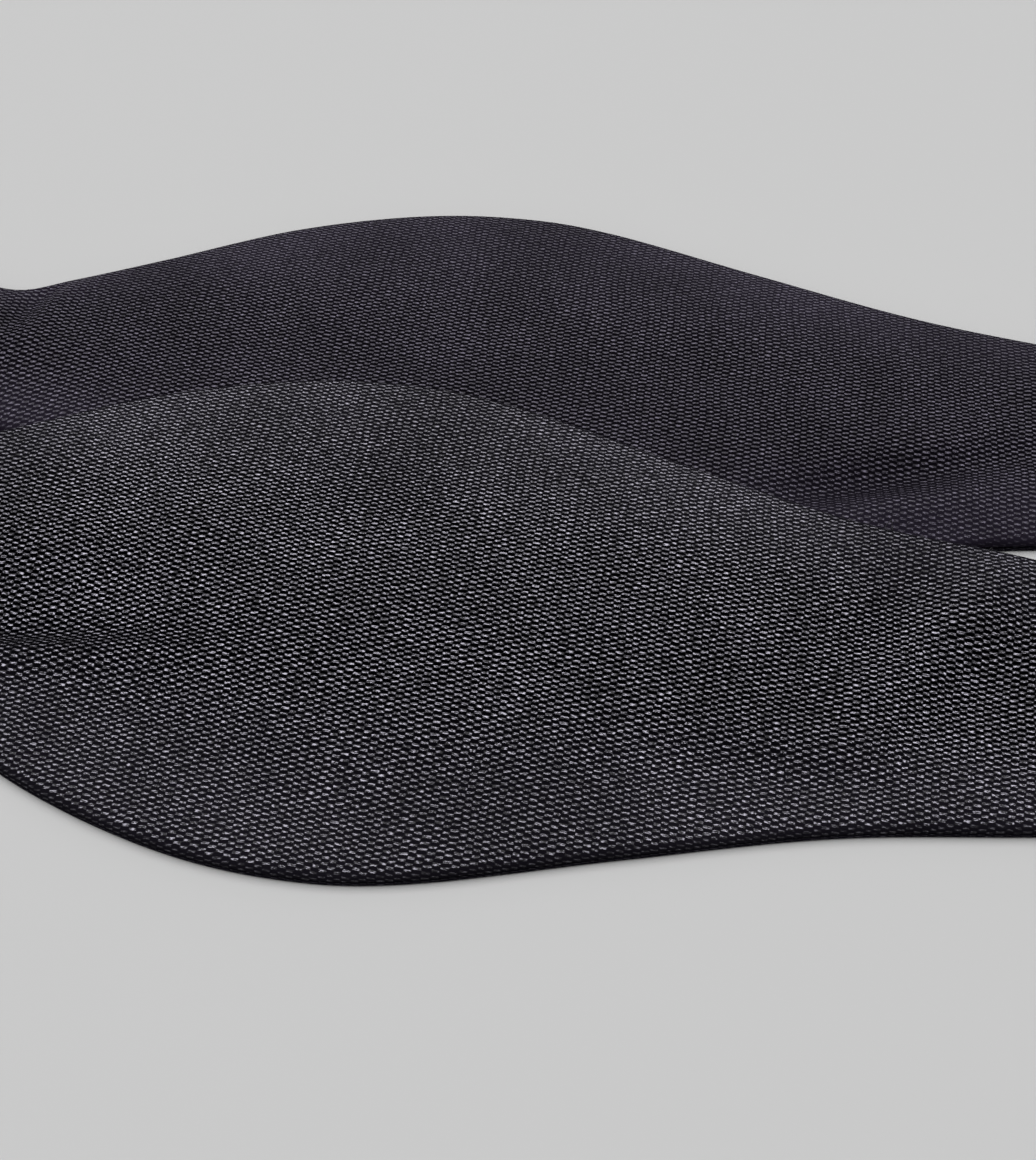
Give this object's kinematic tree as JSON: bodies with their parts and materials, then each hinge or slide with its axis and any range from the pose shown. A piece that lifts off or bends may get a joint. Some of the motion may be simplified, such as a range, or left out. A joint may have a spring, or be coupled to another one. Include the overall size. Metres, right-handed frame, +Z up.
{
  "type": "bow tie",
  "caption": "Self-tie butterfly bow tie in woven silk, untied and laid flat, with a folded neckband and a slide, hook and eye adjuster.",
  "frame": {"origin": "on the table, under the middle of the part's bounding box", "axes": "+X along the tie from the blades' free ends to the neckband's turn, +Y from the near blade to the far blade, +Z up"},
  "size_m": [0.4038, 0.1286, 0.0205],
  "materials": {
    "silk_face": "woven barathea silk, soft sheen",
    "silk_band": "woven barathea silk, soft sheen",
    "interlining": "matt woven wool canvas",
    "hardware": "polished and lightly brushed",
    "thread": "polyester sewing thread",
    "label": "woven damask label, blank"
  },
  "bodies": {
    "root": {"adjuster_strap": "silk_band", "care_label": "label", "eye_bar_tack": "thread", "eye_tab": "silk_band", "far_blade_back": "silk_face", "far_blade_face": "silk_face", "far_blade_interlining": "interlining", "maker_label": "label", "near_blade_back": "silk_face", "near_blade_face": "silk_face", "near_blade_interlining": "interlining", "neckband_cloth": "silk_band", "neckband_interlining": "interlining", "short_band_cloth": "silk_band", "short_band_interlining": "interlining", "strap_bar_tack": "thread", "strap_tail": "silk_band"},
    "slide": {"slide_adjuster": "hardware", "tail_bar_tack": "thread"},
    "hook": {"neck_hook": "hardware"},
    "eye": {"neck_eye": "hardware"}
  },
  "joints": [
    {"name": "slide_travel", "type": "slide", "parent": "root", "child": "slide", "axis": [-0.9907, 0.1357, 0], "range_m": [0, 0.02], "deforming": ["strap_tail"]},
    {"name": "hook_swing", "type": "hinge", "parent": "root", "child": "hook", "pos_m": [0.09332, -0.00374, 0.0026], "axis": [-0.1357, -0.9907, 0], "range_deg": [0, 100]},
    {"name": "eye_swing", "type": "hinge", "parent": "root", "child": "eye", "pos_m": [0.11512, -0.00673, 0.0026], "axis": [0.1357, 0.9907, 0], "range_deg": [0, 100]}
  ]
}
